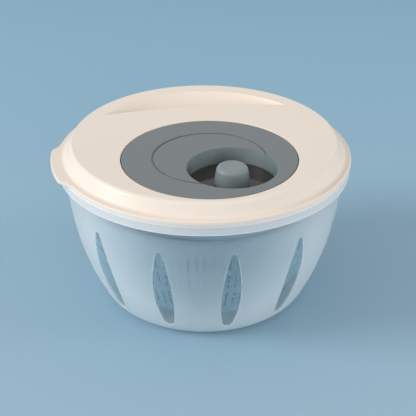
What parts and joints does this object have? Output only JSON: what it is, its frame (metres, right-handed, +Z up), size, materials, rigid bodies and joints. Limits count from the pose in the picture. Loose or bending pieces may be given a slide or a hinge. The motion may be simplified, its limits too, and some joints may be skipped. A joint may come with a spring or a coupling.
{
  "type": "salad spinner",
  "caption": "Salad spinner: frosted bowl, slotted basket and a lid whose finger knob turns a crank disc that spins the basket through an off-centre internal gear.",
  "frame": {"origin": "centre of the bowl's foot, on the surface that it stands on", "axes": "+Z up along the bowl's axis; the finger knob is towards -Y, the lid's grip recess towards +Y and the lid's lifting tab towards -X"},
  "size_m": [0.2556, 0.25, 0.1457],
  "materials": {
    "frosted_bowl": "clear plastic with a fine frosted surface",
    "clear_basket": "clear moulded plastic",
    "cream_lid": "satin cream plastic",
    "grey_disc": "satin grey plastic",
    "grey_knob": "satin grey plastic",
    "dark_turntable": "glossy dark plastic",
    "gear_plastic": "natural acetal",
    "slide_plastic": "natural low-friction plastic",
    "tray_plastic": "satin cream plastic",
    "screw_steel": "stainless steel"
  },
  "bodies": {
    "bowl": {"bowl": "frosted_bowl"},
    "basket": {"basket": "clear_basket"},
    "lid": {"lid_shell": "cream_lid", "gear_tray": "tray_plastic", "tray_screws": "screw_steel", "glide_ring": "slide_plastic", "shaft_bush": "slide_plastic", "thrust_washer": "slide_plastic"},
    "crank": {"crank_disc": "grey_disc", "ring_gear": "gear_plastic", "ring_screws": "screw_steel"},
    "knob": {"knob_turntable": "dark_turntable", "finger_knob": "grey_knob", "knob_cap": "grey_knob", "knob_washer": "screw_steel", "knob_screw": "screw_steel"},
    "driver": {"drive_pinion": "gear_plastic", "driver_plate": "tray_plastic", "driver_washer": "screw_steel", "driver_screw": "screw_steel"}
  },
  "joints": [
    {"name": "lid_lift", "type": "slide", "parent": "bowl", "child": "lid", "axis": [0, 0, 1], "range_m": [0, 0.1]},
    {"name": "crank_turn", "type": "hinge", "parent": "lid", "child": "crank", "pos_m": [0, -0.03301, 0.13], "axis": [0, 0, 1], "continuous": true},
    {"name": "knob_spin", "type": "hinge", "parent": "crank", "child": "knob", "pos_m": [0.01566, -0.0538, 0.13], "axis": [0, 0, 1], "continuous": true},
    {"name": "driver_spin", "type": "hinge", "parent": "lid", "child": "driver", "pos_m": [0, 0, 0.11], "axis": [0, 0, 1], "continuous": true},
    {"name": "basket_spin", "type": "hinge", "parent": "bowl", "child": "basket", "pos_m": [0, 0, 0.015], "axis": [0, 0, 1], "continuous": true}
  ],
  "couplings": [
    {"joint": "driver_spin", "follows": "crank_turn", "ratio": 3},
    {"joint": "basket_spin", "follows": "crank_turn", "ratio": 3}
  ]
}
